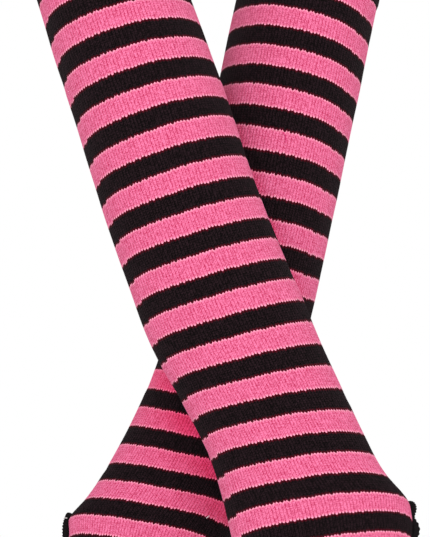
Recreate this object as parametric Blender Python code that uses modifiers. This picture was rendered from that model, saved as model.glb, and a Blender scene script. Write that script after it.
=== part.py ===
# A pair of striped knitted arm warmers, crossed, hollow and open at both ends.
# The origin is where the two sleeves cross. +Z runs up the sleeves and -Y is the side that the
# right one lies on, in front of the left one.

import functools
import math

import bmesh
import bpy
import numpy as np
from mathutils import Vector

# Sizes in metres
STRIPE = 0.010            # height of one colour stripe, half of the repeat
WALL = 0.0014             # thickness of the knitted cloth
WELT_WALL = 0.0026        # thickness of the turned, doubled edge bands
WELT_PROUD = 0.0005       # how far a band stands out of the tube beside it
WELT_EDGE = 0.0006        # rounding of a band's edges
SEAM_GAP = 0.0004         # gap between pieces that meet
SLIT_OPEN = 0.0085        # half the width of the opened thumb slit
SLIT_REACH = 0.060        # distance round over which the wales bend aside for the slit
EDGING_WIDTH = 0.0023     # overlocked edging, across its roll
EDGING_HEIGHT = 0.0046    # overlocked edging, square to the cloth
EDGING_SLACK = 0.0006     # room for the chords of the slit's rim

# Places along a sleeve, counted in stripes down from its upper edge band
TOP_EDGE = -0.6
TUBE_TOP = 1
MID_FOREARM = 12
WRIST = 23
TUBE_BOTTOM = 34
FINGER_EDGE = 35
CROSSING = 20

# Mesh density
COLUMNS = 28              # quads round a sleeve
SLIT_ROWS = 8             # steps between the slit's two tips
ROW_SPACE = 0.12          # stripes, the least between a colour change and another ring
EDGING_WAVES = 5          # lettuce waves round the slit, evenly spaced
EDGING_STATIONS = 48
EDGING_SIDES = 8
ROUND_SAMPLES = 240       # points that one round is measured with
WALK_STEP = 0.25          # stripes between the points of a centreline
NORMAL_STEP = 0.001       # metres, for the direction a point is moved out in

# One row for each key section, in stripes, degrees and millimetres.
# slant: the centreline from the vertical, seen from the front
# forward: the centreline's turn towards the front, going down
# width, depth: full outer size across and from front to back
# fullness: 2 is an ellipse, more is squarer
# lean: the knitted course from the horizontal, seen from the front, thumb side up
# tilt: how many degrees the front of a course rides up
# droop: how far a course sags at the thumb side
# thumb: how far the cloth bulges out at the thumb side
SECTION_COLUMNS = ("stripe", "slant", "forward", "width", "depth", "fullness",
                   "lean", "tilt", "droop", "thumb")
RIGHT_SECTIONS = (
    (-0.6, 17.5, 5.5, 68.5, 66.0, 2.00, 13.5, 8.0, 0.0, 0.0),
    (4.0, 18.0, 5.0, 69.5, 64.0, 2.00, 15.5, 6.0, 1.0, 0.0),
    (8.0, 18.5, 4.5, 70.5, 60.0, 2.00, 17.0, 5.5, 0.5, 0.0),
    (12.0, 17.5, 3.5, 71.0, 54.5, 2.00, 18.5, 4.5, -0.5, 0.0),
    (16.0, 20.0, 3.0, 71.0, 48.5, 2.00, 16.5, 4.5, -1.5, 0.0),
    (20.0, 23.5, 3.0, 72.5, 46.0, 2.05, 15.5, 4.0, -1.0, 0.0),
    (23.0, 27.0, 4.0, 70.0, 44.5, 2.10, 13.5, 3.5, 0.5, 0.0),
    (26.0, 25.0, 5.0, 70.0, 42.5, 2.15, 12.0, 5.5, 4.0, 0.0),
    (28.0, 22.0, 6.0, 74.5, 41.0, 2.20, 11.5, 8.0, 5.0, 0.0),
    (29.0, 20.0, 6.5, 77.0, 40.5, 2.25, 11.0, 10.0, 6.0, 3.2),
    (30.0, 17.5, 7.0, 79.0, 40.0, 2.30, 10.5, 12.0, 4.0, 1.7),
    (32.0, 13.5, 8.0, 80.5, 39.0, 2.30, 8.5, 15.0, 1.0, -4.0),
    (35.0, 8.0, 8.0, 80.5, 38.0, 2.30, 5.0, 16.0, 0.0, -6.0),
)
LEFT_SECTIONS = (
    (-0.6, 13.0, 1.5, 68.0, 66.0, 2.00, 16.0, 1.0, 2.0, 0.0),
    (4.0, 12.0, 1.5, 68.5, 64.0, 2.00, 15.0, 4.0, 2.0, 0.0),
    (8.0, 11.0, 1.5, 67.5, 60.0, 2.00, 13.0, 5.5, 0.0, 0.0),
    (12.0, 11.5, 1.0, 66.0, 54.5, 2.00, 11.0, 1.5, -0.5, 0.0),
    (16.0, 12.5, 1.0, 65.0, 48.5, 2.00, 11.5, -3.5, 0.0, 0.0),
    (20.0, 17.0, 1.0, 65.5, 46.0, 2.05, 12.5, -1.5, -1.0, 0.0),
    (23.0, 23.0, 2.0, 67.0, 45.0, 2.10, 12.0, 4.0, -2.0, 0.0),
    (26.0, 28.5, 3.5, 70.5, 43.0, 2.15, 10.0, 11.5, -2.5, -1.0),
    (28.0, 31.0, 5.0, 74.5, 42.0, 2.20, 9.5, 17.0, -2.5, -1.6),
    (29.0, 31.0, 5.5, 76.5, 41.5, 2.25, 9.0, 19.5, -2.5, -0.8),
    (30.0, 29.5, 6.0, 77.5, 41.0, 2.30, 9.0, 21.0, -2.5, -6.1),
    (32.0, 25.5, 7.0, 80.0, 40.0, 2.30, 9.0, 21.0, -3.5, -10.8),
    (35.0, 18.0, 7.0, 80.5, 39.0, 2.30, 9.0, 19.0, -3.0, -11.0),
)
# side mirrors a sleeve across the plane between them. crossing is its centreline's point, in
# metres, where they cross. The thumb slit runs between the two stripes, slit_turn degrees from
# the thumb side to the front. The edging's middle lies edging_lift metres outside the cloth's
# face. Its lettuce waves are edging_wave high, from the middle to the crest, and are
# edging_phase degrees into one at the slit's upper tip.
SLEEVES = {
    "right": {"side": 1, "sections": RIGHT_SECTIONS, "crossing": (-0.0016, -0.0234, 0.0004),
              "slit": (28.95, 32.45), "slit_turn": -7.0,
              "edging_lift": -0.0002, "edging_wave": 0.0009, "edging_phase": -20.0},
    "left": {"side": -1, "sections": LEFT_SECTIONS, "crossing": (0.0013, 0.0234, -0.0149),
             "slit": (28.5, 32.0), "slit_turn": -5.0,
             "edging_lift": 0.0004, "edging_wave": 0.0004, "edging_phase": 116.0},
}
THUMB_NARROWING = 3       # more keeps the droop and the push closer to the thumb side

PINK_YARN = "#F0689A"
BLACK_YARN = "#1E181A"


def clear_scene():
    for thing in list(bpy.data.objects):
        bpy.data.objects.remove(thing, do_unlink=True)


def linear(hex_colour):
    levels = [int(hex_colour[i:i + 2], 16) / 255 for i in (1, 3, 5)]
    return [v / 12.92 if v <= 0.04045 else ((v + 0.055) / 1.055) ** 2.4 for v in levels] + [1.0]


def yarn_material(name, hex_colour, roughness):
    material = bpy.data.materials.new(name)
    material.use_nodes = True
    shader = material.node_tree.nodes["Principled BSDF"]
    shader.inputs["Base Color"].default_value = linear(hex_colour)
    shader.inputs["Roughness"].default_value = roughness
    shader.inputs["Metallic"].default_value = 0.0
    material.diffuse_color = linear(hex_colour)
    return material


def read_section(name, column, stripe):
    # A smooth curve through one column of a sleeve's table
    rows = SLEEVES[name]["sections"]
    at = [row[0] for row in rows]
    values = [row[SECTION_COLUMNS.index(column)] for row in rows]
    slopes = np.gradient(values, at)
    i = min(max(int(np.searchsorted(at, stripe, side="right")) - 1, 0), len(rows) - 2)
    span = at[i + 1] - at[i]
    t = (stripe - at[i]) / span
    start = (1 + 2 * t) * (1 - t) ** 2 * values[i] + t * (1 - t) ** 2 * span * slopes[i]
    end = t ** 2 * (3 - 2 * t) * values[i + 1] + t ** 2 * (t - 1) * span * slopes[i + 1]
    return start + end


@functools.lru_cache(maxsize=None)
def centreline(name):
    # The centreline is walked a stripe at a time, in the direction that the table gives
    stops = np.arange(TOP_EDGE - 1, FINGER_EDGE + 1, WALK_STEP)
    points = [np.zeros(3)]
    for stop in stops[:-1]:
        slant = math.radians(read_section(name, "slant", stop + WALK_STEP / 2))
        forward = math.radians(read_section(name, "forward", stop + WALK_STEP / 2))
        ahead = np.array([math.sin(slant) * math.cos(forward), -math.sin(forward),
                          -math.cos(slant) * math.cos(forward)])
        points.append(points[-1] + ahead * STRIPE * WALK_STEP)
    points = np.array(points)
    crossing = [np.interp(CROSSING, stops, points[:, axis]) for axis in range(3)]
    return stops, points - crossing + np.array(SLEEVES[name]["crossing"])


def centre(name, stripe):
    stops, points = centreline(name)
    return np.array([np.interp(stripe, stops, points[:, axis]) for axis in range(3)])


@functools.lru_cache(maxsize=None)
def round_at(name, stripe):
    # One knitted course: its points from the slit's line round by the front, with each one's
    # distance round
    lean = math.radians(read_section(name, "lean", stripe))
    tilt = math.radians(read_section(name, "tilt", stripe))
    across = np.array([math.cos(lean), 0, math.sin(lean)])
    along = np.array([-math.sin(lean), 0, math.cos(lean)])
    front = math.cos(tilt) * np.array([0, -1, 0]) + math.sin(tilt) * along
    turn = np.linspace(0, 2 * math.pi, ROUND_SAMPLES + 1) + math.radians(SLEEVES[name]["slit_turn"])
    power = 2 / read_section(name, "fullness", stripe)
    half_width = read_section(name, "width", stripe) / 2000
    half_depth = read_section(name, "depth", stripe) / 2000
    thumb_side = ((1 + np.cos(turn)) / 2) ** THUMB_NARROWING
    x = half_width * np.sign(np.cos(turn)) * np.abs(np.cos(turn)) ** power
    x += read_section(name, "thumb", stripe) / 1000 * thumb_side
    y = half_depth * np.sign(np.sin(turn)) * np.abs(np.sin(turn)) ** power
    sag = read_section(name, "droop", stripe) / 1000 * thumb_side
    points = centre(name, stripe) + np.outer(x, across) + np.outer(y, front) - np.outer(sag, along)
    distances = np.concatenate([[0], np.cumsum(np.linalg.norm(np.diff(points, axis=0), axis=1))])
    return points * np.array([SLEEVES[name]["side"], 1, 1]), distances


def girth(name, stripe):
    return round_at(name, stripe)[1][-1]


def bare_point(name, stripe, distance):
    points, distances = round_at(name, stripe)
    return np.array([np.interp(distance % distances[-1], distances, points[:, axis]) for axis in range(3)])


def face_point(name, stripe, distance, out=0.0):
    # A point on the sleeve's outer face, moved out along the face's normal
    step = NORMAL_STEP / STRIPE
    here = bare_point(name, stripe, distance)
    round_way = bare_point(name, stripe, distance + NORMAL_STEP) - here
    down_way = bare_point(name, stripe + step, distance) - here
    normal = np.cross(round_way, down_way) * SLEEVES[name]["side"]
    return Vector(here + normal / np.linalg.norm(normal) * out)


def slit_half_width(name, stripe):
    top, bottom = SLEEVES[name]["slit"]
    middle = (top + bottom) / 2
    half = (bottom - top) / 2
    return SLIT_OPEN * math.sqrt(max(0.0, 1 - ((stripe - middle) / half) ** 2))


def wale_distance(name, stripe, share):
    # How far round the wale at this share of the girth lies, bent aside by the open slit
    whole = girth(name, stripe)
    even = share * whole
    from_slit = min(even, whole - even)
    aside = slit_half_width(name, stripe) * max(0.0, 1 - from_slit / SLIT_REACH) ** 2
    return even + aside if even < whole / 2 else even - aside


def slit_stripes(name):
    # Rings through the slit, closer together at its tips, apart from those beside a colour change
    top, bottom = SLEEVES[name]["slit"]
    middle = (top + bottom) / 2
    half = (bottom - top) / 2
    stops = [middle - half * math.cos(math.pi * row / SLIT_ROWS) for row in range(SLIT_ROWS + 1)]
    inner = [stop for stop in stops[1:-1] if abs(stop - round(stop)) > ROW_SPACE]
    return [stops[0]] + inner + [stops[-1]]


def tube_surface(name, stripes, out=0.0):
    # An open sheet of quads round the sleeve, parted where it passes the slit
    sheet = bmesh.new()
    rows = []
    for stripe in stripes:
        row = [sheet.verts.new(face_point(name, stripe, wale_distance(name, stripe, i / COLUMNS), out))
               for i in range(COLUMNS)]
        half_width = slit_half_width(name, stripe)
        if half_width > 1e-4:
            other_rim = girth(name, stripe) - half_width
            row.append(sheet.verts.new(face_point(name, stripe, other_rim, out)))
        else:
            row.append(row[0])
        rows.append(row)
    for k, (upper, lower) in enumerate(zip(rows[:-1], rows[1:])):
        middle_stripe = (stripes[k] + stripes[k + 1]) / 2
        for i in range(COLUMNS):
            corners = [upper[i], upper[i + 1], lower[i + 1], lower[i]]
            face = sheet.faces.new(corners if SLEEVES[name]["side"] == 1 else corners[::-1])
            face.material_index = 0 if int(math.floor(middle_stripe)) % 2 else 1
            face.smooth = True
    return sheet


def new_object(name, sheet, materials, collection):
    mesh = bpy.data.meshes.new(name)
    sheet.to_mesh(mesh)
    sheet.free()
    for material in materials:
        mesh.materials.append(material)
    thing = bpy.data.objects.new(name, mesh)
    collection.objects.link(thing)
    return thing


def add_wall(thing, thickness):
    wall = thing.modifiers.new("Wall", "SOLIDIFY")
    wall.thickness = thickness
    wall.offset = -1.0
    wall.use_even_offset = True


def knit_tube(name, label, first, last, stripes, yarns, collection):
    # One stretch of the knitted tube, kept a seam's gap short at both ends
    end_gap = SEAM_GAP / STRIPE / 2
    rows = [first + end_gap] + [s for s in stripes if first < s < last] + [last - end_gap]
    thing = new_object(f"{name}_{label}", tube_surface(name, rows), yarns, collection)
    add_wall(thing, WALL)
    return thing


def edge_band(name, label, first, last, yarn, collection):
    # A turned band at one end of the tube, with rounded folds
    thing = new_object(f"{name}_{label}", tube_surface(name, [first, last], WELT_PROUD), [yarn], collection)
    for face in thing.data.polygons:
        face.material_index = 0
    add_wall(thing, WELT_WALL)
    fold = thing.modifiers.new("Folds", "BEVEL")
    fold.width = WELT_EDGE
    fold.segments = 1
    fold.limit_method = "ANGLE"
    fold.angle_limit = math.radians(60)
    return thing


def edging_line(name):
    # The middle of the edging's roll inside the slit's rim: how far up from the slit's middle and
    # how far round each station is, and its share of the way round the slit
    top, bottom = SLEEVES[name]["slit"]
    half_length = (bottom - top) / 2 * STRIPE
    turn = np.linspace(0, 2 * math.pi, EDGING_STATIONS + 1)
    rim = np.stack([half_length * np.cos(turn), SLIT_OPEN * np.sin(turn)], axis=-1)
    square_to_rim = np.stack([np.cos(turn) / half_length, np.sin(turn) / SLIT_OPEN], axis=-1)
    square_to_rim /= np.linalg.norm(square_to_rim, axis=-1, keepdims=True)
    line = rim - square_to_rim * (EDGING_WIDTH / 2 + SEAM_GAP + EDGING_SLACK)
    lengths = np.concatenate([[0], np.cumsum(np.linalg.norm(np.diff(line, axis=0), axis=1))])
    return line[:-1], lengths[:-1] / lengths[-1]


def thumb_edging(name, yarn, collection):
    # A rolled, waving band round the inside of the slit's rim
    middle = sum(SLEEVES[name]["slit"]) / 2
    phase = math.radians(SLEEVES[name]["edging_phase"])
    path = []
    outward = []
    for (up, distance), share in zip(*edging_line(name)):
        wave = math.sin(2 * math.pi * EDGING_WAVES * share + phase)
        lift = SLEEVES[name]["edging_lift"] + SLEEVES[name]["edging_wave"] * wave
        path.append(face_point(name, middle - up / STRIPE, distance, lift))
        outward.append((face_point(name, middle - up / STRIPE, distance, 1.0) - path[-1]).normalized())
    loop = bmesh.new()
    rings = []
    for station in range(EDGING_STATIONS):
        ahead = (path[(station + 1) % EDGING_STATIONS] - path[station - 1]).normalized()
        side = ahead.cross(outward[station]).normalized()
        out = side.cross(ahead)
        ring = []
        for k in range(EDGING_SIDES):
            angle = 2 * math.pi * (k + 0.5) / EDGING_SIDES
            reach = (side * EDGING_WIDTH * math.cos(angle) + out * EDGING_HEIGHT * math.sin(angle)) / 2
            ring.append(loop.verts.new(path[station] + reach))
        rings.append(ring)
    for station in range(EDGING_STATIONS):
        here, there = rings[station - 1], rings[station]
        for k in range(EDGING_SIDES):
            face = loop.faces.new((here[k - 1], here[k], there[k], there[k - 1]))
            face.smooth = True
    bmesh.ops.recalc_face_normals(loop, faces=loop.faces)
    return new_object(f"{name}_thumb_edging", loop, [yarn], collection)


def arm_warmer(name, pink, black, collection):
    colour_changes = [float(stripe) for stripe in range(TUBE_TOP, TUBE_BOTTOM + 1)]
    hand_rows = sorted(set(colour_changes + slit_stripes(name)))
    knit_tube(name, "upper_knit", TUBE_TOP, MID_FOREARM, colour_changes, [pink, black], collection)
    knit_tube(name, "lower_knit", MID_FOREARM, WRIST, colour_changes, [pink, black], collection)
    knit_tube(name, "hand_knit", WRIST, TUBE_BOTTOM, hand_rows, [pink, black], collection)
    seam = SEAM_GAP / STRIPE / 2
    edge_band(name, "top_welt", TOP_EDGE, TUBE_TOP - seam, black, collection)
    edge_band(name, "finger_welt", TUBE_BOTTOM + seam, FINGER_EDGE, black, collection)
    thumb_edging(name, black, collection)


def main():
    clear_scene()
    collection = bpy.data.collections.new("arm_warmers")
    bpy.context.scene.collection.children.link(collection)
    pink = yarn_material("pink_yarn", PINK_YARN, 0.85)
    black = yarn_material("black_yarn", BLACK_YARN, 0.85)
    for name in SLEEVES:
        arm_warmer(name, pink, black, collection)


main()
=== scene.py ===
import functools
import math

import bmesh
import bpy
import numpy as np
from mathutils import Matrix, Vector


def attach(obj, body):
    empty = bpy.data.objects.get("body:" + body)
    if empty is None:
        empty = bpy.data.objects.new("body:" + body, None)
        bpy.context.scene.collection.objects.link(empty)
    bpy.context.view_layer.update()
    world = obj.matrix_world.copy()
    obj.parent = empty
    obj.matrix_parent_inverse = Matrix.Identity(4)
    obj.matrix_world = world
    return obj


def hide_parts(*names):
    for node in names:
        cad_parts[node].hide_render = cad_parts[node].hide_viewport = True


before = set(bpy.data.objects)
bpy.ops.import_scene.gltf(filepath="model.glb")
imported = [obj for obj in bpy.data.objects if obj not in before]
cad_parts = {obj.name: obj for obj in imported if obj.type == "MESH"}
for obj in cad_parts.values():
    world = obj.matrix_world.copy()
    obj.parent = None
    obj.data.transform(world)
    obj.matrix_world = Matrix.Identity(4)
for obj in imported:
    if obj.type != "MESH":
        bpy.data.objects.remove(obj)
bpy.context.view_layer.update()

scene = bpy.context.scene
print("frame loaded")

# The form of the two sleeves, as in the part's source. Each row of sections: stripes counted down
# from the top band, then degrees and millimetres. slant and forward turn the centreline, lean and
# tilt turn a knitted course, fullness 2 is an ellipse, droop and thumb are at the slit's side.
stripeHeight = 0.010
sectionColumns = ("stripe", "slant", "forward", "width", "depth", "fullness",
                  "lean", "tilt", "droop", "thumb")
sleeves = {
    "right": {
        "side": 1, "crossing": (-0.0016, -0.0234, 0.0004), "slit": (28.95, 32.45), "slitTurn": -7.0,
        "edgingLift": -0.0002, "edgingWave": 0.0009, "edgingPhase": -20.0,
        "rimDroop": 0.30,  # stripes that the colours sag beside the slit
        "jogWale": 58, "jog": 0.13,  # where the colour changes step, and by what share of a stripe
        "sections": (
            (-0.6, 17.5, 5.5, 68.5, 66.0, 2.00, 13.5, 8.0, 0.0, 0.0),
            (4.0, 18.0, 5.0, 69.5, 64.0, 2.00, 15.5, 6.0, 1.0, 0.0),
            (8.0, 18.5, 4.5, 70.5, 60.0, 2.00, 17.0, 5.5, 0.5, 0.0),
            (12.0, 17.5, 3.5, 71.0, 54.5, 2.00, 18.5, 4.5, -0.5, 0.0),
            (16.0, 20.0, 3.0, 71.0, 48.5, 2.00, 16.5, 4.5, -1.5, 0.0),
            (20.0, 23.5, 3.0, 72.5, 46.0, 2.05, 15.5, 4.0, -1.0, 0.0),
            (23.0, 27.0, 4.0, 70.0, 44.5, 2.10, 13.5, 3.5, 0.5, 0.0),
            (26.0, 25.0, 5.0, 70.0, 42.5, 2.15, 12.0, 5.5, 4.0, 0.0),
            (28.0, 22.0, 6.0, 74.5, 41.0, 2.20, 11.5, 8.0, 5.0, 0.0),
            (29.0, 20.0, 6.5, 77.0, 40.5, 2.25, 11.0, 10.0, 6.0, 3.2),
            (30.0, 17.5, 7.0, 79.0, 40.0, 2.30, 10.5, 12.0, 4.0, 1.7),
            (32.0, 13.5, 8.0, 80.5, 39.0, 2.30, 8.5, 15.0, 1.0, -4.0),
            (35.0, 8.0, 8.0, 80.5, 38.0, 2.30, 5.0, 16.0, 0.0, -6.0),
        ),
    },
    "left": {
        "side": -1, "crossing": (0.0013, 0.0234, -0.0149), "slit": (28.5, 32.0), "slitTurn": -5.0,
        "edgingLift": 0.0004, "edgingWave": 0.0004, "edgingPhase": 116.0,
        "rimDroop": 0.08, "jogWale": 51, "jog": 0.08,
        "sections": (
            (-0.6, 13.0, 1.5, 68.0, 66.0, 2.00, 16.0, 1.0, 2.0, 0.0),
            (4.0, 12.0, 1.5, 68.5, 64.0, 2.00, 15.0, 4.0, 2.0, 0.0),
            (8.0, 11.0, 1.5, 67.5, 60.0, 2.00, 13.0, 5.5, 0.0, 0.0),
            (12.0, 11.5, 1.0, 66.0, 54.5, 2.00, 11.0, 1.5, -0.5, 0.0),
            (16.0, 12.5, 1.0, 65.0, 48.5, 2.00, 11.5, -3.5, 0.0, 0.0),
            (20.0, 17.0, 1.0, 65.5, 46.0, 2.05, 12.5, -1.5, -1.0, 0.0),
            (23.0, 23.0, 2.0, 67.0, 45.0, 2.10, 12.0, 4.0, -2.0, 0.0),
            (26.0, 28.5, 3.5, 70.5, 43.0, 2.15, 10.0, 11.5, -2.5, -1.0),
            (28.0, 31.0, 5.0, 74.5, 42.0, 2.20, 9.5, 17.0, -2.5, -1.6),
            (29.0, 31.0, 5.5, 76.5, 41.5, 2.25, 9.0, 19.5, -2.5, -0.8),
            (30.0, 29.5, 6.0, 77.5, 41.0, 2.30, 9.0, 21.0, -2.5, -6.1),
            (32.0, 25.5, 7.0, 80.0, 40.0, 2.30, 9.0, 21.0, -3.5, -10.8),
            (35.0, 18.0, 7.0, 80.5, 39.0, 2.30, 9.0, 19.0, -3.0, -11.0),
        ),
    },
}
sleeveForm = {
    "topEdge": -0.6, "tubeTop": 1.0, "wrist": 23.0, "crossing": 20.0,  # stripes down
    "tubeBottom": 34.0, "fingerEdge": 35.0,
    "slitOpen": 0.0085, "slitReach": 0.060,  # half width, and how far round the wales bend aside
    "slitSteps": 30, "thumbNarrowing": 3, "seamGap": 0.0004,
    "roundSamples": 960, "walkStep": 0.25, "normalStep": 0.001,
}


def readSection(name, column, stripe):
    rows = sleeves[name]["sections"]
    at = [row[0] for row in rows]
    values = [row[sectionColumns.index(column)] for row in rows]
    slopes = np.gradient(values, at)
    i = min(max(int(np.searchsorted(at, stripe, side="right")) - 1, 0), len(rows) - 2)
    span = at[i + 1] - at[i]
    t = (stripe - at[i]) / span
    start = (1 + 2 * t) * (1 - t) ** 2 * values[i] + t * (1 - t) ** 2 * span * slopes[i]
    end = t ** 2 * (3 - 2 * t) * values[i + 1] + t ** 2 * (t - 1) * span * slopes[i + 1]
    return start + end


@functools.lru_cache(maxsize=None)
def centreLine(name):
    step = sleeveForm["walkStep"]
    stops = np.arange(sleeveForm["topEdge"] - 1, sleeveForm["fingerEdge"] + 1, step)
    points = [np.zeros(3)]
    for stop in stops[:-1]:
        slant = math.radians(readSection(name, "slant", stop + step / 2))
        forward = math.radians(readSection(name, "forward", stop + step / 2))
        ahead = np.array([math.sin(slant) * math.cos(forward), -math.sin(forward),
                          -math.cos(slant) * math.cos(forward)])
        points.append(points[-1] + ahead * stripeHeight * step)
    points = np.array(points)
    crossing = [np.interp(sleeveForm["crossing"], stops, points[:, axis]) for axis in range(3)]
    return stops, points - crossing + np.array(sleeves[name]["crossing"])


@functools.lru_cache(maxsize=None)
def roundAt(name, stripe):  # one knitted course, from the slit's line round by the front
    stops, line = centreLine(name)
    centre = np.array([np.interp(stripe, stops, line[:, axis]) for axis in range(3)])
    lean = math.radians(readSection(name, "lean", stripe))
    tilt = math.radians(readSection(name, "tilt", stripe))
    across = np.array([math.cos(lean), 0, math.sin(lean)])
    along = np.array([-math.sin(lean), 0, math.cos(lean)])
    front = math.cos(tilt) * np.array([0, -1, 0]) + math.sin(tilt) * along
    turn = np.linspace(0, 2 * math.pi, sleeveForm["roundSamples"] + 1)
    turn = turn + math.radians(sleeves[name]["slitTurn"])
    power = 2 / readSection(name, "fullness", stripe)
    halfWidth = readSection(name, "width", stripe) / 2000
    halfDepth = readSection(name, "depth", stripe) / 2000
    thumbSide = ((1 + np.cos(turn)) / 2) ** sleeveForm["thumbNarrowing"]
    x = halfWidth * np.sign(np.cos(turn)) * np.abs(np.cos(turn)) ** power
    x += readSection(name, "thumb", stripe) / 1000 * thumbSide
    y = halfDepth * np.sign(np.sin(turn)) * np.abs(np.sin(turn)) ** power
    sag = readSection(name, "droop", stripe) / 1000 * thumbSide
    points = centre + np.outer(x, across) + np.outer(y, front) - np.outer(sag, along)
    distances = np.concatenate([[0], np.cumsum(np.linalg.norm(np.diff(points, axis=0), axis=1))])
    return points * np.array([sleeves[name]["side"], 1, 1]), distances


def girth(name, stripe):
    return roundAt(name, stripe)[1][-1]


def barePoints(name, stripe, distances):
    points, lengths = roundAt(name, stripe)
    places = distances % lengths[-1]
    return np.stack([np.interp(places, lengths, points[:, axis]) for axis in range(3)], axis=-1)


def facePoints(name, stripe, distances, out):  # points on the outer face, moved out along its normal
    step = sleeveForm["normalStep"]
    here = barePoints(name, stripe, distances)
    roundWay = barePoints(name, stripe, distances + step) - barePoints(name, stripe, distances - step)
    downWay = barePoints(name, stripe + step / stripeHeight, distances) - here
    normals = np.cross(roundWay, downWay) * sleeves[name]["side"]
    normals /= np.linalg.norm(normals, axis=-1, keepdims=True)
    return here + normals * np.reshape(out, (-1, 1))


def slitHalfWidth(name, stripe):
    top, bottom = sleeves[name]["slit"]
    middle, half = (top + bottom) / 2, (bottom - top) / 2
    return sleeveForm["slitOpen"] * math.sqrt(max(0.0, 1 - ((stripe - middle) / half) ** 2))


def waleDistances(name, stripe, shares):  # where the wales lie, bent aside by the open slit
    whole = girth(name, stripe)
    even = shares * whole
    fromSlit = np.minimum(even, whole - even)
    aside = slitHalfWidth(name, stripe) * np.maximum(0.0, 1 - fromSlit / sleeveForm["slitReach"]) ** 2
    return np.where(even < whole / 2, even + aside, even - aside)


def linearColour(hexColour):
    levels = [int(hexColour[i:i + 2], 16) / 255 for i in (1, 3, 5)]
    return [v / 12.92 if v <= 0.04045 else ((v + 0.055) / 1.055) ** 2.4 for v in levels] + [1.0]


def addNode(tree, kind, settings, sockets):
    node = tree.nodes.new(kind)
    for key, value in settings.items():
        setattr(node, key, value)
    for key, value in sockets.items():
        if isinstance(value, bpy.types.Node):
            value = value.outputs[0]
        if isinstance(value, bpy.types.NodeSocket):
            tree.links.new(value, node.inputs[key])
        else:
            node.inputs[key].default_value = value
    return node


def mathNode(tree, operation, *values):
    return addNode(tree, "ShaderNodeMath", {"operation": operation}, dict(enumerate(values)))


def easeNode(tree, value, fromLow, fromHigh, toLow, toHigh):
    return addNode(tree, "ShaderNodeMapRange", {"interpolation_type": "SMOOTHSTEP"},
                   {"Value": value, "From Min": fromLow, "From Max": fromHigh,
                    "To Min": toLow, "To Max": toHigh})


def mixNode(tree, factor, first, second, blend="MIX"):
    mixed = addNode(tree, "ShaderNodeMix", {"data_type": "RGBA", "blend_type": blend},
                    {"Factor": factor, 6: first, 7: second})
    return mixed.outputs[2]


def noiseNode(tree, scale, detail):
    place = addNode(tree, "ShaderNodeTexCoord", {}, {})
    return addNode(tree, "ShaderNodeTexNoise", {},
                   {"Vector": place.outputs["Object"], "Scale": scale, "Detail": detail})


def emptyMaterial(name):
    material = bpy.data.materials.new(name)
    material.use_nodes = True
    material.node_tree.nodes.clear()
    return material, material.node_tree


def finishKnit(tree, colour, stitch, yarn, sheen, sheenTint):  # the relief and the shader of both knits
    look = jerseyLook
    relief = mathNode(tree, "MULTIPLY_ADD", yarn, look["yarnRelief"], stitch)
    bump = addNode(tree, "ShaderNodeBump", {}, {
        "Height": relief, "Strength": look["bumpStrength"], "Distance": look["bumpDepth"]})
    shader = addNode(tree, "ShaderNodeBsdfPrincipled", {}, {
        "Base Color": colour, "Roughness": look["roughness"], "Normal": bump,
        "Sheen Weight": sheen, "Sheen Roughness": look["sheenRoughness"],
        "Sheen Tint": linearColour(sheenTint), "Specular IOR Level": look["specular"]})
    addNode(tree, "ShaderNodeOutputMaterial", {}, {"Surface": shader})


# Fine circular-knit jersey of textured nylon and acrylic: matt, with small V stitches in upright
# wales, and colour changes that end in the teeth of the stitches.
jerseyLook = {
    # the darker of the first two pinks is painted shade in the grooves between the wales, the other one
    # the lit ridges
    "pink": "#DE739A", "pinkTip": "#E795AB", "pinkGrooveShade": "#A41343",
    # the first black is the dye's black and the grooves' painted shade, the second one painted light on
    # the ridges
    "black": "#020101", "blackRidgeLight": "#25171C", "maroon": "#460311",
    "wales": 126, "coursesPerStripe": 9,  # 1.6 mm and 1.1 mm apart when stretched
    "teeth": 0.13, "unevenTeeth": 0.06,  # shares of a stripe
    "jogStart": 0.85,  # the share of the jog that the colours are set back just past its step
    "fringe": (0.03, 0.14),  # from the colour change, in stripes, where it starts and stops to fade
    "tip": (0.30, 0.80, 0.10),  # pale from 0.30 to 0.80 of a tooth, and the least share of it
    "groove": (0.28, 0.50),  # from mid wale, in wales, where a leg falls off to the groove
    "midDip": (0.12, 0.65), "course": (0.45, 0.35),  # how wide, and the height left in its bottom
    "legSlant": 1.6,  # courses that a leg climbs across one wale
    "legsPerWale": 3.0, "legShade": 0.65, "stitchShade": 0.68, "mottle": (-0.17, -0.07),
    "blackPower": 2.2,  # keeps the black's painted groove shade wide and dark
    "plainCourse": 0.8,  # how much a course shows in the black welts, for each wale's 1
    "yarnScale": 1500.0, "yarnDetail": 2.0, "mottleScale": 330.0, "mottleDetail": 3.0,  # 0.7 and 3 mm
    "mottleRange": (0.3, 0.7),
    "yarnRelief": 0.35, "bumpStrength": 0.8, "bumpDepth": 0.00022,
    "roughness": 0.90, "specular": 0.05, "sheenRoughness": 0.5,
    "blackSheen": 0.02, "blackSheenTint": "#EDE4E8",
    "pinkSheen": 0.12, "pinkSheenTint": "#FFE6EE",  # the pink yarn has the paler fuzz at the edges
    "besideShadeTint": (1.20, 0.40, 0.64, 1.0),  # painted shade: deep pink beside the front sleeve, standing in for its shadow and the pink light it throws back
}


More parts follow.
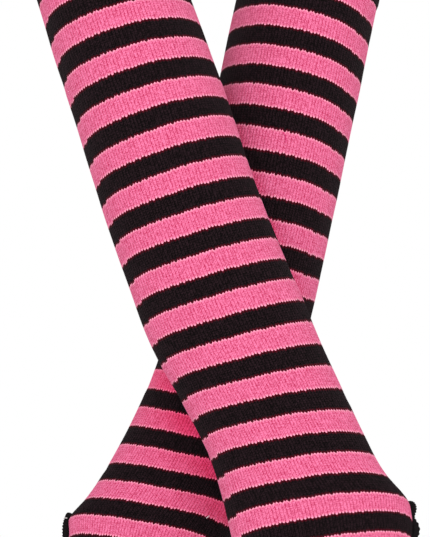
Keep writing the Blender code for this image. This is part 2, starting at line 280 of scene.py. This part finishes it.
def stripedJersey(name, jog):
    look = jerseyLook
    material, tree = emptyMaterial(name)
    knit = addNode(tree, "ShaderNodeUVMap", {"uv_map": "knit"}, {})
    place = addNode(tree, "ShaderNodeSeparateXYZ", {}, {0: knit})
    wale, stripe = place.outputs[0], place.outputs[1]
    inWale = mathNode(tree, "FRACT", wale)
    offMiddle = mathNode(tree, "SUBTRACT", inWale, 0.5)
    away = mathNode(tree, "ABSOLUTE", offMiddle)
    waleNumber = mathNode(tree, "FLOOR", wale)
    uneven = addNode(tree, "ShaderNodeTexWhiteNoise", {"noise_dimensions": "1D"}, {"W": waleNumber})
    # the colour changes: toothed, a little uneven, with the step of one course at the jog
    toothed = mathNode(tree, "MULTIPLY_ADD", away, look["teeth"], stripe)
    jittered = mathNode(tree, "MULTIPLY_ADD", uneven, look["unevenTeeth"], toothed)
    roundShare = mathNode(tree, "DIVIDE", wale, look["wales"])
    pastJog = mathNode(tree, "FRACT", roundShare)
    drift = mathNode(tree, "MULTIPLY_ADD", pastJog, jog, -jog * look["jogStart"] - look["unevenTeeth"])
    colourPlace = mathNode(tree, "ADD", jittered, drift)
    pairShare = mathNode(tree, "MULTIPLY", colourPlace, 0.5)
    inPair = mathNode(tree, "FRACT", pairShare)
    isPink = mathNode(tree, "GREATER_THAN", inPair, 0.5)
    inStripe = mathNode(tree, "FRACT", colourPlace)
    fromEdge = mathNode(tree, "PINGPONG", inStripe, 0.5)
    fringe = easeNode(tree, fromEdge, *look["fringe"], 1.0, 0.0)
    # each tooth has a pale tip: in mid wale below a stripe, between the wales above it
    acrossWale = mathNode(tree, "MULTIPLY", away, 2.0)
    isLower = mathNode(tree, "GREATER_THAN", inStripe, 0.5)
    tipSide = mathNode(tree, "SUBTRACT", isLower, acrossWale)
    tipPlace = mathNode(tree, "ABSOLUTE", tipSide)
    tipRound = easeNode(tree, tipPlace, *look["tip"], 1.0)
    # the two legs of each stitch
    waleHeight = easeNode(tree, away, *look["groove"], 1.0, 0.0)
    midDip = easeNode(tree, away, 0.0, *look["midDip"], 1.0)
    legHeight = mathNode(tree, "MULTIPLY", waleHeight, midDip)
    courseUp = mathNode(tree, "MULTIPLY", stripe, look["coursesPerStripe"])
    legSlant = mathNode(tree, "MULTIPLY_ADD", away, look["legSlant"], courseUp)
    inCourse = mathNode(tree, "PINGPONG", legSlant, 0.5)
    courseHeight = easeNode(tree, inCourse, 0.0, *look["course"], 1.0)
    stitch = mathNode(tree, "MULTIPLY", legHeight, courseHeight)
    # each leg takes the light its own way, as crimped yarn does
    legCount = mathNode(tree, "MULTIPLY", wale, look["legsPerWale"])
    legNumber = mathNode(tree, "FLOOR", legCount)
    halfCourses = mathNode(tree, "MULTIPLY", legSlant, 2.0)
    courseNumber = mathNode(tree, "FLOOR", halfCourses)
    legPlace = addNode(tree, "ShaderNodeCombineXYZ", {}, {0: legNumber, 1: courseNumber})
    legShade = addNode(tree, "ShaderNodeTexWhiteNoise", {"noise_dimensions": "2D"}, {"Vector": legPlace})
    # crimped yarn, finer than the stitches, and slow mottling
    yarn = noiseNode(tree, look["yarnScale"], look["yarnDetail"])
    mottle = noiseNode(tree, look["mottleScale"], look["mottleDetail"])
    mottled = addNode(tree, "ShaderNodeMapRange", {},
                      {"Value": mottle,
                       "From Min": look["mottleRange"][0], "From Max": look["mottleRange"][1],
                       "To Min": look["mottle"][0], "To Max": look["mottle"][1]})
    legLight = mathNode(tree, "MULTIPLY_ADD", legShade, look["legShade"], mottled)
    # painted light and shade of the stitches' relief: low in the grooves, high on the ridges, with each
    # leg's random tone and the mottling
    reliefLightAndTone = mathNode(tree, "MULTIPLY_ADD", stitch, look["stitchShade"], legLight)
    # the colours: pink with pale tips and painted shade beside the front sleeve, black with a maroon
    # fringe
    pinkKnit = mixNode(tree, reliefLightAndTone, linearColour(look["pinkGrooveShade"]), linearColour(look["pink"]))
    tipShare = mathNode(tree, "MULTIPLY", fringe, tipRound)
    pinkAll = mixNode(tree, tipShare, pinkKnit, linearColour(look["pinkTip"]))
    # painted shade: the pink is multiplied deeper where the front sleeve shades the left one
    beside = addNode(tree, "ShaderNodeAttribute", {"attribute_name": "beside"}, {})
    pinkShadedBeside = mixNode(tree, beside.outputs["Fac"], pinkAll, look["besideShadeTint"], "MULTIPLY")
    # painted light on the black's ridges, painted shade in its grooves
    blackReliefLight = mathNode(tree, "POWER", reliefLightAndTone, look["blackPower"])
    blackKnit = mixNode(tree, blackReliefLight, linearColour(look["black"]), linearColour(look["blackRidgeLight"]))
    blackAll = mixNode(tree, fringe, blackKnit, linearColour(look["maroon"]))
    colour = mixNode(tree, isPink, blackAll, pinkShadedBeside)
    sheen = mathNode(tree, "MULTIPLY_ADD", isPink, look["pinkSheen"] - look["blackSheen"],
                     look["blackSheen"])
    finishKnit(tree, colour, stitch, yarn, sheen, look["pinkSheenTint"])
    return material


# The same jersey in black alone, turned and doubled: plain upright wales.
def blackJersey():
    look = jerseyLook
    material, tree = emptyMaterial("turnedBlackJersey")
    knit = addNode(tree, "ShaderNodeUVMap", {"uv_map": "knit"}, {})
    place = addNode(tree, "ShaderNodeSeparateXYZ", {}, {0: knit})
    inWale = mathNode(tree, "PINGPONG", place.outputs[0], 0.5)
    courses = mathNode(tree, "MULTIPLY_ADD", place.outputs[1], look["coursesPerStripe"], inWale)
    inCourse = mathNode(tree, "PINGPONG", courses, 0.5)
    stitch = mathNode(tree, "MULTIPLY_ADD", inCourse, look["plainCourse"], inWale)
    yarn = noiseNode(tree, look["yarnScale"], look["yarnDetail"])
    # painted shade in the grooves between the wales and painted light on their ridges
    colour = mixNode(tree, stitch, linearColour(look["black"]), linearColour(look["blackRidgeLight"]))
    finishKnit(tree, colour, stitch, yarn, look["blackSheen"], look["blackSheenTint"])
    return material


# Polyester overlock thread: finely twisted, a little glossier than the knit.
threadLook = {
    "fibreScale": 2600.0, "fibreDetail": 2.0,  # about 0.4 mm
    "bumpStrength": 0.6, "bumpDepth": 0.00012, "roughness": 0.6, "sheenRoughness": 0.4,
}


def threadMaterial(name, dark, light, sheen, specular):
    look = threadLook
    material, tree = emptyMaterial(name)
    fibres = noiseNode(tree, look["fibreScale"], look["fibreDetail"])
    colour = mixNode(tree, fibres, linearColour(dark), linearColour(light))
    bump = addNode(tree, "ShaderNodeBump", {}, {
        "Height": fibres, "Strength": look["bumpStrength"], "Distance": look["bumpDepth"]})
    shader = addNode(tree, "ShaderNodeBsdfPrincipled", {}, {
        "Base Color": colour, "Roughness": look["roughness"], "Normal": bump,
        "Sheen Weight": sheen, "Sheen Roughness": look["sheenRoughness"],
        "Specular IOR Level": specular})
    addNode(tree, "ShaderNodeOutputMaterial", {}, {"Surface": shader})
    return material


stripedKnit = {name: stripedJersey(f"{name}StripedJersey", sleeve["jog"])
               for name, sleeve in sleeves.items()}
plainKnit = blackJersey()
overlockThread = threadMaterial("blackOverlockThread", "#020101", "#120C0E", 0.0, 0.06)
whiteThread = threadMaterial("whiteSewingThread", "#B9B0B1", "#E6DEDD", 0.1, 0.1)
pulledYarn = threadMaterial("pulledPinkYarn", "#B01C55", "#CC3F76", 0.0, 0.05)
print("materials made")


def wrapGrid(points, places, shades=None):
    # a grid of quads, bent to the rows of points and closed where its edges meet
    rows, columns = points.shape[0] - 1, points.shape[1] - 1
    sheet = bmesh.new()
    knit = sheet.loops.layers.uv.new("knit")
    # this layer holds each point's painted shade beside the front sleeve, zero where none is given
    beside = sheet.verts.layers.float.new("beside")
    bmesh.ops.create_grid(sheet, x_segments=columns, y_segments=rows, size=0.5)
    spots = {}
    for vert in sheet.verts:
        spots[vert] = (round((vert.co.y + 0.5) * rows), round((vert.co.x + 0.5) * columns))
    for face in sheet.faces:
        face.smooth = True
        for loop in face.loops:
            loop[knit].uv = places[spots[loop.vert]]
    for vert, spot in spots.items():
        vert.co = points[spot]
        vert[beside] = 0.0 if shades is None else shades[spot]
    rim = [vert for vert in sheet.verts if vert.is_boundary]
    bmesh.ops.remove_doubles(sheet, verts=rim, dist=1e-6)
    return sheet


sharpAngle = 55  # degrees between faces, from which an edge is shaded sharp


def finishPiece(name, sheet, material, nodes, mirrored):
    if mirrored:
        bmesh.ops.reverse_faces(sheet, faces=sheet.faces)
    for edge in sheet.edges:
        if edge.is_manifold and edge.calc_face_angle() > math.radians(sharpAngle):
            edge.smooth = False
    mesh = bpy.data.meshes.new(name)
    sheet.to_mesh(mesh)
    sheet.free()
    mesh.materials.append(material)
    piece = bpy.data.objects.new(name, mesh)
    scene.collection.objects.link(piece)
    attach(piece, "root")
    if nodes:
        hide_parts(*nodes)
    print(name, len(mesh.polygons), "faces")
    return piece


# Soft unevenness of the stretched cloth. Each wave of slack: turns round, turns for each stripe
# down, start and height. Each crease: stripe, share of the girth from the slit's line round by the
# front, degrees from the course, half length, half width and depth in millimetres.
clothSoftness = {
    "waleRelief": 0.00013, "waleRoundness": 0.8, "columnsPerWale": 5, "wall": 0.0010,
    "slack": 0.00006, "waves": ((3, 0.13, 0.0, 1.0), (2, -0.21, 0.4, 1.0), (7, 0.37, 0.7, 0.6)),
    "lip": {"height": 0.45, "away": 1.9, "width": 1.1},  # the cloth heaped up beside a crease
    "creases": {
        "right": (
            (22.4, 0.44, 12, 15, 2.4, 0.35), (24.2, 0.08, -10, 13, 2.2, 0.35),
            (25.6, 0.47, 8, 11, 2.0, 0.30), (21.0, 0.72, 6, 24, 2.8, 0.55),
            (23.3, 0.78, -8, 20, 2.4, 0.60), (24.9, 0.66, 10, 17, 2.6, 0.50),
            (6.5, 0.62, -12, 22, 3.4, 0.40), (3.1, 0.86, 9, 18, 3.0, 0.35),
            (12.7, 0.81, 15, 16, 2.8, 0.30), (33.0, 0.70, 4, 15, 2.4, 0.35),
        ),
        "left": (
            (22.0, 0.08, 10, 14, 2.4, 0.35), (24.0, 0.46, -12, 12, 2.2, 0.35),
            (26.4, 0.05, 14, 10, 2.0, 0.30), (20.6, 0.70, -6, 22, 2.8, 0.55),
            (23.0, 0.64, 9, 21, 2.5, 0.60), (25.2, 0.77, -10, 15, 2.4, 0.45),
            (5.4, 0.80, 12, 20, 3.2, 0.40), (2.6, 0.60, -8, 16, 3.0, 0.35),
            (11.5, 0.66, -14, 15, 2.8, 0.30), (32.7, 0.76, -5, 14, 2.4, 0.35),
        ),
    },
}


def softness(name, stripe, distances):
    whole = girth(name, stripe)
    share = distances / whole
    lip = clothSoftness["lip"]
    out = 0.0
    for turns, drift, start, height in clothSoftness["waves"]:
        wave = np.sin(2 * math.pi * (turns * share + drift * stripe + start))
        out = out + clothSoftness["slack"] * height * wave
    for at, where, slant, length, width, depth in clothSoftness["creases"][name]:
        acrossWay = (share - where + 0.5) % 1.0 * whole - 0.5 * whole
        downWay = (stripe - at) * stripeHeight
        turn = math.radians(slant)
        lengthWay = (acrossWay * math.cos(turn) + downWay * math.sin(turn)) * 1000 / length
        widthWay = (downWay * math.cos(turn) - acrossWay * math.sin(turn)) * 1000 / width
        heap = lip["height"] * np.exp(-((widthWay - lip["away"]) / lip["width"]) ** 2)
        trough = np.exp(-widthWay ** 2) - heap
        out = out - depth / 1000 * trough * np.exp(-lengthWay ** 2)
    return out


# Where the colours sag: stripes above the slit's middle, stripes each way, and metres from the rim.
rimSag = {"above": 0.3, "half": 1.9, "fade": 0.004}


def rimDroop(name, stripe, distances):  # how far the colours sag beside the slit, in stripes
    top, bottom = sleeves[name]["slit"]
    whole = girth(name, stripe)
    fromRim = np.minimum(distances, whole - distances) - slitHalfWidth(name, stripe)
    nearSlit = math.exp(-((stripe - (top + bottom) / 2 + rimSag["above"]) / rimSag["half"]) ** 4)
    return sleeves[name]["rimDroop"] * nearSlit * np.exp(-np.maximum(fromRim, 0) / rimSag["fade"])


# Painted shade on the left sleeve: its pink made deeper beside the right one that lies in front,
# standing in for that sleeve's shadow and pink bounced light. How strong, from how many millimetres out
# it fades, and how fast, above and below the crossing.
besideShade = {"above": (0.42, 3.0, 1.6), "below": (1.0, 2.3, 11.7), "blend": (17.0, 23.0)}


def shadeBeside(name, stripe, shares, points):
    if name != "left":
        return np.zeros(len(points))
    stops, line = centreLine("right")
    halfWidths = np.array([readSection("right", "width", stop) for stop in stops]) / 2
    gaps = np.hypot(points[:, None, 0] - line[:, 0], points[:, None, 2] - line[:, 2])
    gaps = gaps * 1000 - halfWidths
    start, end = besideShade["blend"]
    below = min(max((stripe - start) / (end - start), 0.0), 1.0)
    strength, offset, reach = (a + (b - a) * below
                               for a, b in zip(besideShade["above"], besideShade["below"]))
    onFront = np.sqrt(np.maximum(np.sin(2 * math.pi * shares), 0.0))
    return strength * np.exp(-np.maximum(gaps.min(axis=1) - offset, 0.0) / reach) * onFront


def shellTable(name, rows):
    # rows of (stripe, out, how much of the relief): the points, each one's wale and stripe, its painted
    # shade
    columns = jerseyLook["wales"] * clothSoftness["columnsPerWale"]
    shares = np.arange(columns + 1) / columns
    wales = shares * jerseyLook["wales"]
    ridge = np.sin(math.pi * (wales % 1.0)) ** clothSoftness["waleRoundness"]
    points, places, shades = [], [], []
    for stripe, out, relief in rows:
        distances = waleDistances(name, stripe, shares)
        lift = out + softness(name, stripe, distances)
        lift = lift + (ridge - 1) * clothSoftness["waleRelief"] * relief
        points.append(facePoints(name, stripe, distances, lift))
        colourPlace = stripe - rimDroop(name, stripe, distances)
        places.append(np.stack([wales - sleeves[name]["jogWale"], colourPlace], axis=-1))
        shades.append(shadeBeside(name, stripe, shares, points[-1]))
    return np.array(points), np.array(places), np.array(shades)


def stepRows(first, last, step, extra):
    even = np.linspace(first, last, round((last - first) / step) + 1)
    return sorted(set(np.round(np.concatenate([even, extra]), 4)))


def tubeRows(first, last, outerStep, innerStep, extra=()):  # down the outer face, and up the inner one
    outer = stepRows(first, last, outerStep, extra)
    inner = stepRows(first, last, innerStep, extra)
    rows = [(stripe, 0.0, 1.0) for stripe in outer]
    rows += [(stripe, -clothSoftness["wall"], 0.0) for stripe in inner[::-1]]
    return rows + [rows[0]]


# The knitted tube's two lengths. Steps are in stripes, girth and length those of the flat cloth.
flatGirth = 0.172  # 86 mm wide when it is laid flat
tubePieces = {
    "forearmKnit": {
        "nodes": ("upper_knit", "lower_knit"), "first": "tubeTop", "last": "wrist",
        "outerStep": 0.36, "innerStep": 0.7, "girth": flatGirth, "length": 0.22,
    },
    "handKnit": {
        "nodes": ("hand_knit",), "first": "wrist", "last": "tubeBottom",
        "outerStep": 0.30, "innerStep": 0.6, "girth": flatGirth, "length": 0.11,
    },
}


def knitTube(name, label):
    settings = tubePieces[label]
    first, last = sleeveForm[settings["first"]], sleeveForm[settings["last"]]
    top, bottom = sleeves[name]["slit"]
    slitRows = []
    if first < top < last:
        steps = sleeveForm["slitSteps"]
        slitRows = [(top + bottom) / 2 - (bottom - top) / 2 * math.cos(math.pi * k / steps)
                    for k in range(steps + 1)]
    rows = tubeRows(first, last, settings["outerStep"], settings["innerStep"], slitRows)
    if slitRows:  # beside the slit only its own rows stay
        rows = [row for row in rows
                if not (top < row[0] < bottom) or min(abs(row[0] - s) for s in slitRows) < 1e-4]
    sheet = wrapGrid(*shellTable(name, rows))
    openEdges = [edge for edge in sheet.edges if edge.is_boundary]
    if openEdges:  # the slit's rim, from the outer face to the inner one
        bmesh.ops.bridge_loops(sheet, edges=openEdges)
    nodes = [f"{name}_{node}" for node in settings["nodes"]]
    piece = finishPiece(f"{name}_{label}", sheet, stripedKnit[name], nodes,
                        sleeves[name]["side"] < 0)
    return piece


# The turned bands at the two ends, soft and doubled, with a rounded fold.
bandPieces = {
    "topWelt": {
        "node": "top_welt", "outer": "topEdge", "inner": "tubeTop", "girth": flatGirth, "length": 0.016,
    },
    "fingerWelt": {
        "node": "finger_welt", "outer": "fingerEdge", "inner": "tubeBottom",
        "girth": flatGirth, "length": 0.010,
    },
}
bandForm = {
    "thick": 0.0024, "proud": 0.0005,  # proud of the tube's face
    "seamDip": 0.0004, "seamReach": 0.12,  # drawn in at the seam, over a share of a stripe
    "outerRows": 8, "foldSteps": 8, "innerRows": 5, "relief": 0.8,
}


def edgeBand(name, label):
    settings, form = bandPieces[label], bandForm
    fold, seam = sleeveForm[settings["outer"]], sleeveForm[settings["inner"]]
    towardSeam = 1 if seam > fold else -1
    seam -= towardSeam * sleeveForm["seamGap"] / stripeHeight / 2
    thick, proud, steps = form["thick"], form["proud"], form["foldSteps"]
    rounding = thick / 2 / stripeHeight
    foldStart = fold + towardSeam * rounding
    rows = []
    for stripe in np.linspace(seam, foldStart, form["outerRows"]):  # outer face, seam to fold
        ease = min(1.0, abs(stripe - seam) / form["seamReach"])
        rows.append((stripe, proud - form["seamDip"] * (1 - ease), form["relief"]))
    for k in range(1, steps):  # round the fold
        turn = math.pi * k / steps
        rows.append((fold + towardSeam * rounding * (1 - math.sin(turn)),
                     proud - thick / 2 * (1 - math.cos(turn)), form["relief"] * (1 - k / steps)))
    for stripe in np.linspace(foldStart, seam, form["innerRows"]):  # inner face, back to the seam
        rows.append((stripe, proud - thick, 0.0))
    rows.append(rows[0])
    if towardSeam > 0:
        rows = rows[::-1]
    sheet = wrapGrid(*shellTable(name, rows))
    piece = finishPiece(f"{name}_{label}", sheet, plainKnit, [f"{name}_{settings['node']}"],
                        sleeves[name]["side"] < 0)
    return piece


# The overlocked edging of the thumb slit: a roll, wrapped with thread and stretched into waves.
edgingLook = {
    "width": 0.0023, "height": 0.0046,
    "waves": 5, "lesserWaves": 9, "lesserHeight": 0.15, "lesserPhase": 1.0,
    "seamGap": 0.0004, "slack": 0.0006, "wraps": 58, "stationsPerWrap": 6, "wrapSlant": 0.5,
    "sides": 14, "threadRelief": 0.09,
}


def edgingLine(name, stations):
    # the middle of the roll inside the slit's rim, as ways up from the slit's middle and ways
    # round, and each station's share of the whole way round the slit
    look = edgingLook
    top, bottom = sleeves[name]["slit"]
    halfLength, halfWidth = (bottom - top) / 2 * stripeHeight, sleeveForm["slitOpen"]
    turn = np.linspace(0, 2 * math.pi, stations + 1)
    squareToRim = np.stack([np.cos(turn) / halfLength, np.sin(turn) / halfWidth], axis=-1)
    squareToRim /= np.linalg.norm(squareToRim, axis=-1, keepdims=True)
    rim = np.stack([halfLength * np.cos(turn), halfWidth * np.sin(turn)], axis=-1)
    line = rim - squareToRim * (look["width"] / 2 + look["seamGap"] + look["slack"])
    lengths = np.concatenate([[0], np.cumsum(np.linalg.norm(np.diff(line, axis=0), axis=1))])
    return line[:-1], lengths[:-1] / lengths[-1]


def thumbEdging(name):
    look = edgingLook
    middle = sum(sleeves[name]["slit"]) / 2
    phase = math.radians(sleeves[name]["edgingPhase"])
    stations = look["wraps"] * look["stationsPerWrap"]
    line, shares = edgingLine(name, stations)
    path, outward = [], []
    for (up, distance), share in zip(line, shares):
        wave = math.sin(2 * math.pi * look["waves"] * share + phase)
        lesser = math.sin(2 * math.pi * look["lesserWaves"] * share + look["lesserPhase"])
        wave += look["lesserHeight"] * lesser
        lift = sleeves[name]["edgingLift"] + sleeves[name]["edgingWave"] * wave
        stripe = middle - up / stripeHeight
        low, high = facePoints(name, stripe, np.array([distance, distance]), [lift, lift + 0.01])
        path.append(Vector(low))
        outward.append(Vector(high - low).normalized())
    points, places = [], []
    for station in range(stations + 1):
        k = station % stations
        ahead = (path[(k + 1) % stations] - path[k - 1]).normalized()
        side = ahead.cross(outward[k]).normalized()
        out = side.cross(ahead)
        ring, uv = [], []
        for i in range(look["sides"] + 1):
            angle = 2 * math.pi * i / look["sides"]
            wound = look["wraps"] * station / stations + look["wrapSlant"] * math.sin(angle)
            size = 1 + look["threadRelief"] * (math.cos(2 * math.pi * wound) - 1)
            reach = side * look["width"] * math.cos(angle) + out * look["height"] * math.sin(angle)
            ring.append(path[k] + reach * size / 2)
            uv.append((i / look["sides"], station / look["stationsPerWrap"]))
        points.append(ring)
        places.append(uv)
    sheet = wrapGrid(np.array(points), np.array(places))
    bmesh.ops.recalc_face_normals(sheet, faces=sheet.faces)
    return finishPiece(f"{name}_thumbEdging", sheet, overlockThread, [f"{name}_thumb_edging"],
                       False)


# Loose bits on the left sleeve: the cut end of the overlock's looper thread at the top of the slit,
# a white fibre caught at a colour change, and a pulled pink yarn.
# Each route: stripe, millimetres round from the slit's line by the front, millimetres out.
looseBits = {
    "left_threadEnd": {
        "material": whiteThread, "slot": "black_overlock", "radius": 0.00019,
        "route": ((29.05, 4.70, 2.45), (29.021, 4.78, 1.88), (29.010, 4.95, 1.32),
                  (29.006, 5.10, 0.80)),
    },
    "left_caughtFibre": {
        "material": whiteThread, "slot": "striped_knit", "radius": 0.00020,
        "route": ((28.09, 71.50, 0.10), (28.03, 71.60, 0.25), (27.97, 71.75, 0.25),
                  (27.91, 71.85, 0.10)),
    },
    "left_pulledYarn": {
        "material": pulledYarn, "slot": "striped_knit", "radius": 0.00026,
        "route": ((9.06, 53.5, -0.10), (9.17, 54.4, 0.12), (9.28, 55.1, 0.16), (9.39, 55.4, 0.12),
                  (9.50, 55.4, -0.10)),
    },
}
threadForm = {"stops": 25, "easings": 3, "sides": 8, "aside": (0.3, 0.2, 1.0)}


def looseBit(name):
    settings, form = looseBits[name], threadForm
    knots = [Vector(facePoints("left", stripe, np.array([around / 1000]), [out / 1000])[0])
             for stripe, around, out in settings["route"]]
    stops = np.linspace(0, len(knots) - 1, form["stops"])
    line = [Vector([np.interp(stop, range(len(knots)), [knot[axis] for knot in knots])
                    for axis in range(3)]) for stop in stops]
    for _ in range(form["easings"]):  # ease the corners
        eased = [(line[k - 1] + line[k] * 2 + line[k + 1]) / 4 for k in range(1, len(line) - 1)]
        line = [line[0]] + eased + [line[-1]]
    points = []
    for k, here in enumerate(line):
        ahead = (line[min(k + 1, len(line) - 1)] - line[max(k - 1, 0)]).normalized()
        side = ahead.cross(Vector(form["aside"])).normalized()
        out = side.cross(ahead)
        points.append([here + (side * math.cos(angle) + out * math.sin(angle)) * settings["radius"]
                       for angle in np.linspace(0, 2 * math.pi, form["sides"] + 1)])
    points = np.array(points)
    sheet = wrapGrid(points, np.zeros(points.shape[:2] + (2,)))
    bmesh.ops.holes_fill(sheet, edges=[edge for edge in sheet.edges if edge.is_boundary], sides=0)
    bmesh.ops.recalc_face_normals(sheet, faces=sheet.faces)
    return finishPiece(name, sheet, settings["material"], [], False)


for sleeve in sleeves:
    knitTube(sleeve, "forearmKnit")
    knitTube(sleeve, "handKnit")
    edgeBand(sleeve, "topWelt")
    edgeBand(sleeve, "fingerWelt")
    thumbEdging(sleeve)
for bit in looseBits:
    looseBit(bit)
print("sleeves made")

# A plain pale floor well below, a white surround and soft studio light.
studio = {
    "floorHeight": -0.42, "floorSize": 6.0, "floor": "#F4F4F4", "floorRoughness": 0.9,
    "grainScale": 40.0, "grainStrength": 0.05, "grainDepth": 0.001,
    "surround": "#FFFFFF", "surroundStrength": 1.0,
    "lamps": (
        # name, place, size, watts
        ("keyLight", (-0.45, -1.45, 0.45), 0.8, 9.5),
        ("fillLight", (0.70, -1.35, 0.00), 0.9, 7.0),
    ),
}
floorMesh = bpy.data.meshes.new("floor")
floorSheet = bmesh.new()
bmesh.ops.create_grid(floorSheet, x_segments=8, y_segments=8, size=studio["floorSize"] / 2)
bmesh.ops.translate(floorSheet, verts=floorSheet.verts, vec=(0, 0, studio["floorHeight"]))
floorSheet.to_mesh(floorMesh)
floorSheet.free()
floor = bpy.data.objects.new("floor", floorMesh)
scene.collection.objects.link(floor)
floorPaint, floorTree = emptyMaterial("paleFloorPaint")
floorGrain = addNode(floorTree, "ShaderNodeTexNoise", {}, {"Scale": studio["grainScale"], "Detail": 2.0})
floorBump = addNode(floorTree, "ShaderNodeBump", {}, {
    "Height": floorGrain, "Strength": studio["grainStrength"], "Distance": studio["grainDepth"]})
floorShader = addNode(floorTree, "ShaderNodeBsdfPrincipled", {}, {
    "Base Color": linearColour(studio["floor"]), "Roughness": studio["floorRoughness"],
    "Normal": floorBump})
addNode(floorTree, "ShaderNodeOutputMaterial", {}, {"Surface": floorShader})
floorMesh.materials.append(floorPaint)

surround = bpy.data.worlds.new("whiteSurround")
surround.use_nodes = True
surroundShader = surround.node_tree.nodes["Background"]
surroundShader.inputs["Color"].default_value = linearColour(studio["surround"])
surroundShader.inputs["Strength"].default_value = studio["surroundStrength"]
scene.world = surround

for name, place, size, watts in studio["lamps"]:
    lamp = bpy.data.lights.new(name, "AREA")
    lamp.shape = "DISK"
    lamp.size = size
    lamp.energy = watts
    lampObject = bpy.data.objects.new(name, lamp)
    lampObject.location = place
    lampObject.rotation_euler = (-Vector(place)).to_track_quat("-Z", "Y").to_euler()
    scene.collection.objects.link(lampObject)

# The photograph's view: a little from below, with the origin at its place in the frame.
cameraPlace = {
    "elevation": 8.0, "distance": 0.950, "focalPixels": 2034.26,
    "originPixel": (231, 331), "frame": (430, 537), "sensor": 24,
}
lift = math.radians(cameraPlace["elevation"])
ahead = Vector((0, math.cos(lift), math.sin(lift)))
upward = Vector((0, -math.sin(lift), math.cos(lift)))
rightward = Vector((1, 0, 0))
offRight = (cameraPlace["originPixel"][0] - cameraPlace["frame"][0] / 2) / cameraPlace["focalPixels"]
offUp = -(cameraPlace["originPixel"][1] - cameraPlace["frame"][1] / 2) / cameraPlace["focalPixels"]
lens = bpy.data.cameras.new("photoCamera")
lens.sensor_fit = "VERTICAL"
lens.sensor_height = cameraPlace["sensor"]
lens.lens = cameraPlace["focalPixels"] * cameraPlace["sensor"] / cameraPlace["frame"][1]
lens.clip_start = 0.01
camera = bpy.data.objects.new("photoCamera", lens)
camera.location = -(ahead + rightward * offRight + upward * offUp) * cameraPlace["distance"]
camera.rotation_euler = ahead.to_track_quat("-Z", "Y").to_euler()
scene.collection.objects.link(camera)
scene.camera = camera
scene.view_settings.view_transform = "Standard"
print("stage, light and camera set")
